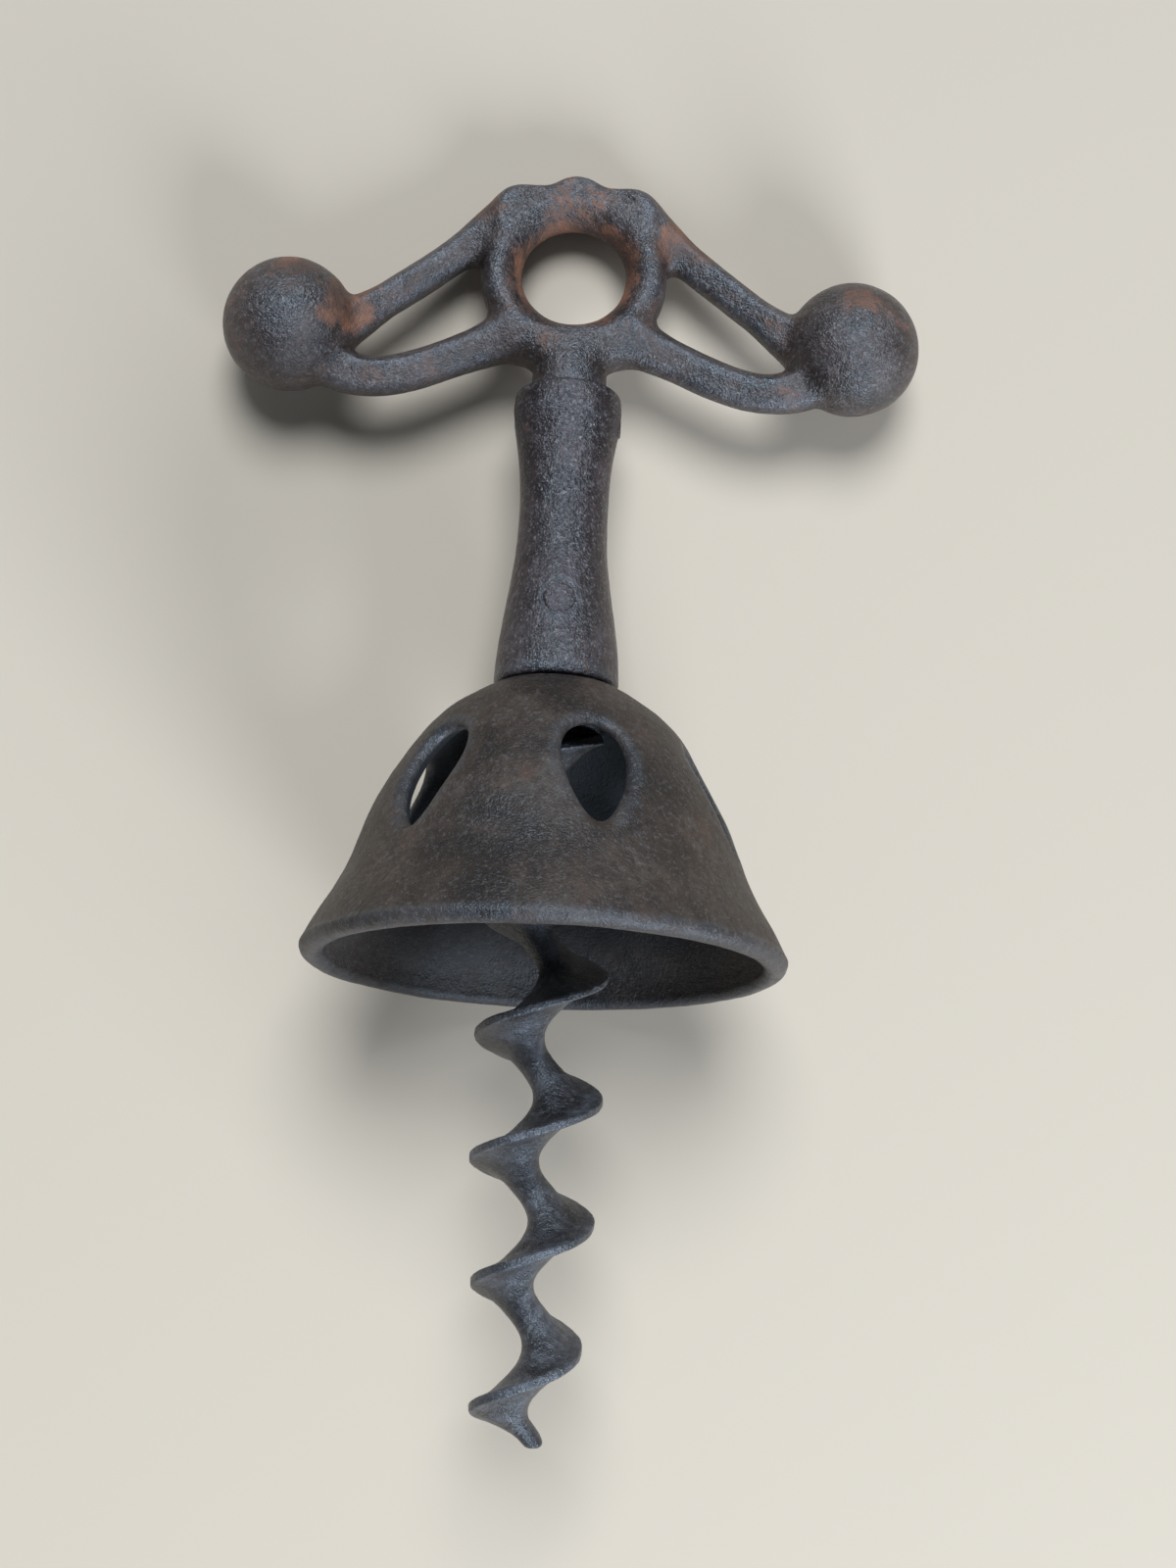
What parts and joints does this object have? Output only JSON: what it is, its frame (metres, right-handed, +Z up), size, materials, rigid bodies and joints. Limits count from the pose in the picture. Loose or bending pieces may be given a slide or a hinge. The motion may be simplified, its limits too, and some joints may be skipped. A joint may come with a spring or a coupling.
{
  "type": "bell corkscrew",
  "caption": "Hand corkscrew with a cast T-handle, pierced ring, ball ends, pinned sleeve, freely turning bell with windows, and a bladed worm.",
  "frame": {"origin": "on the ground under the middle of the tool's bounding box, as it lies on the bell's lip and the two balls", "axes": "+Z up; +X along the handle's arms; +Y from the worm's tip towards the handle's ring, along the tool"},
  "size_m": [0.0676, 0.12, 0.0431],
  "materials": {
    "handle": "dark brown patina with light rust in the fillets",
    "sleeve": "dark brown patina, worn smooth",
    "collar_pin": "hammered flush, dark patina",
    "shank_pin": "hammered flush, dark patina",
    "bell": "dark brown patina, sandy cast surface inside",
    "worm": "grey-brown, sandy and worn"
  },
  "bodies": {
    "tool": {"handle": "handle", "sleeve": "sleeve", "collar_pin": "collar_pin", "shank_pin": "shank_pin", "worm": "worm"},
    "bell": {"bell": "bell"}
  },
  "joints": [
    {"name": "bell_swivel", "type": "hinge", "parent": "tool", "child": "bell", "pos_m": [0, 0.00893, 0.01538], "axis": [0, 0.9696, -0.2446], "continuous": true}
  ]
}
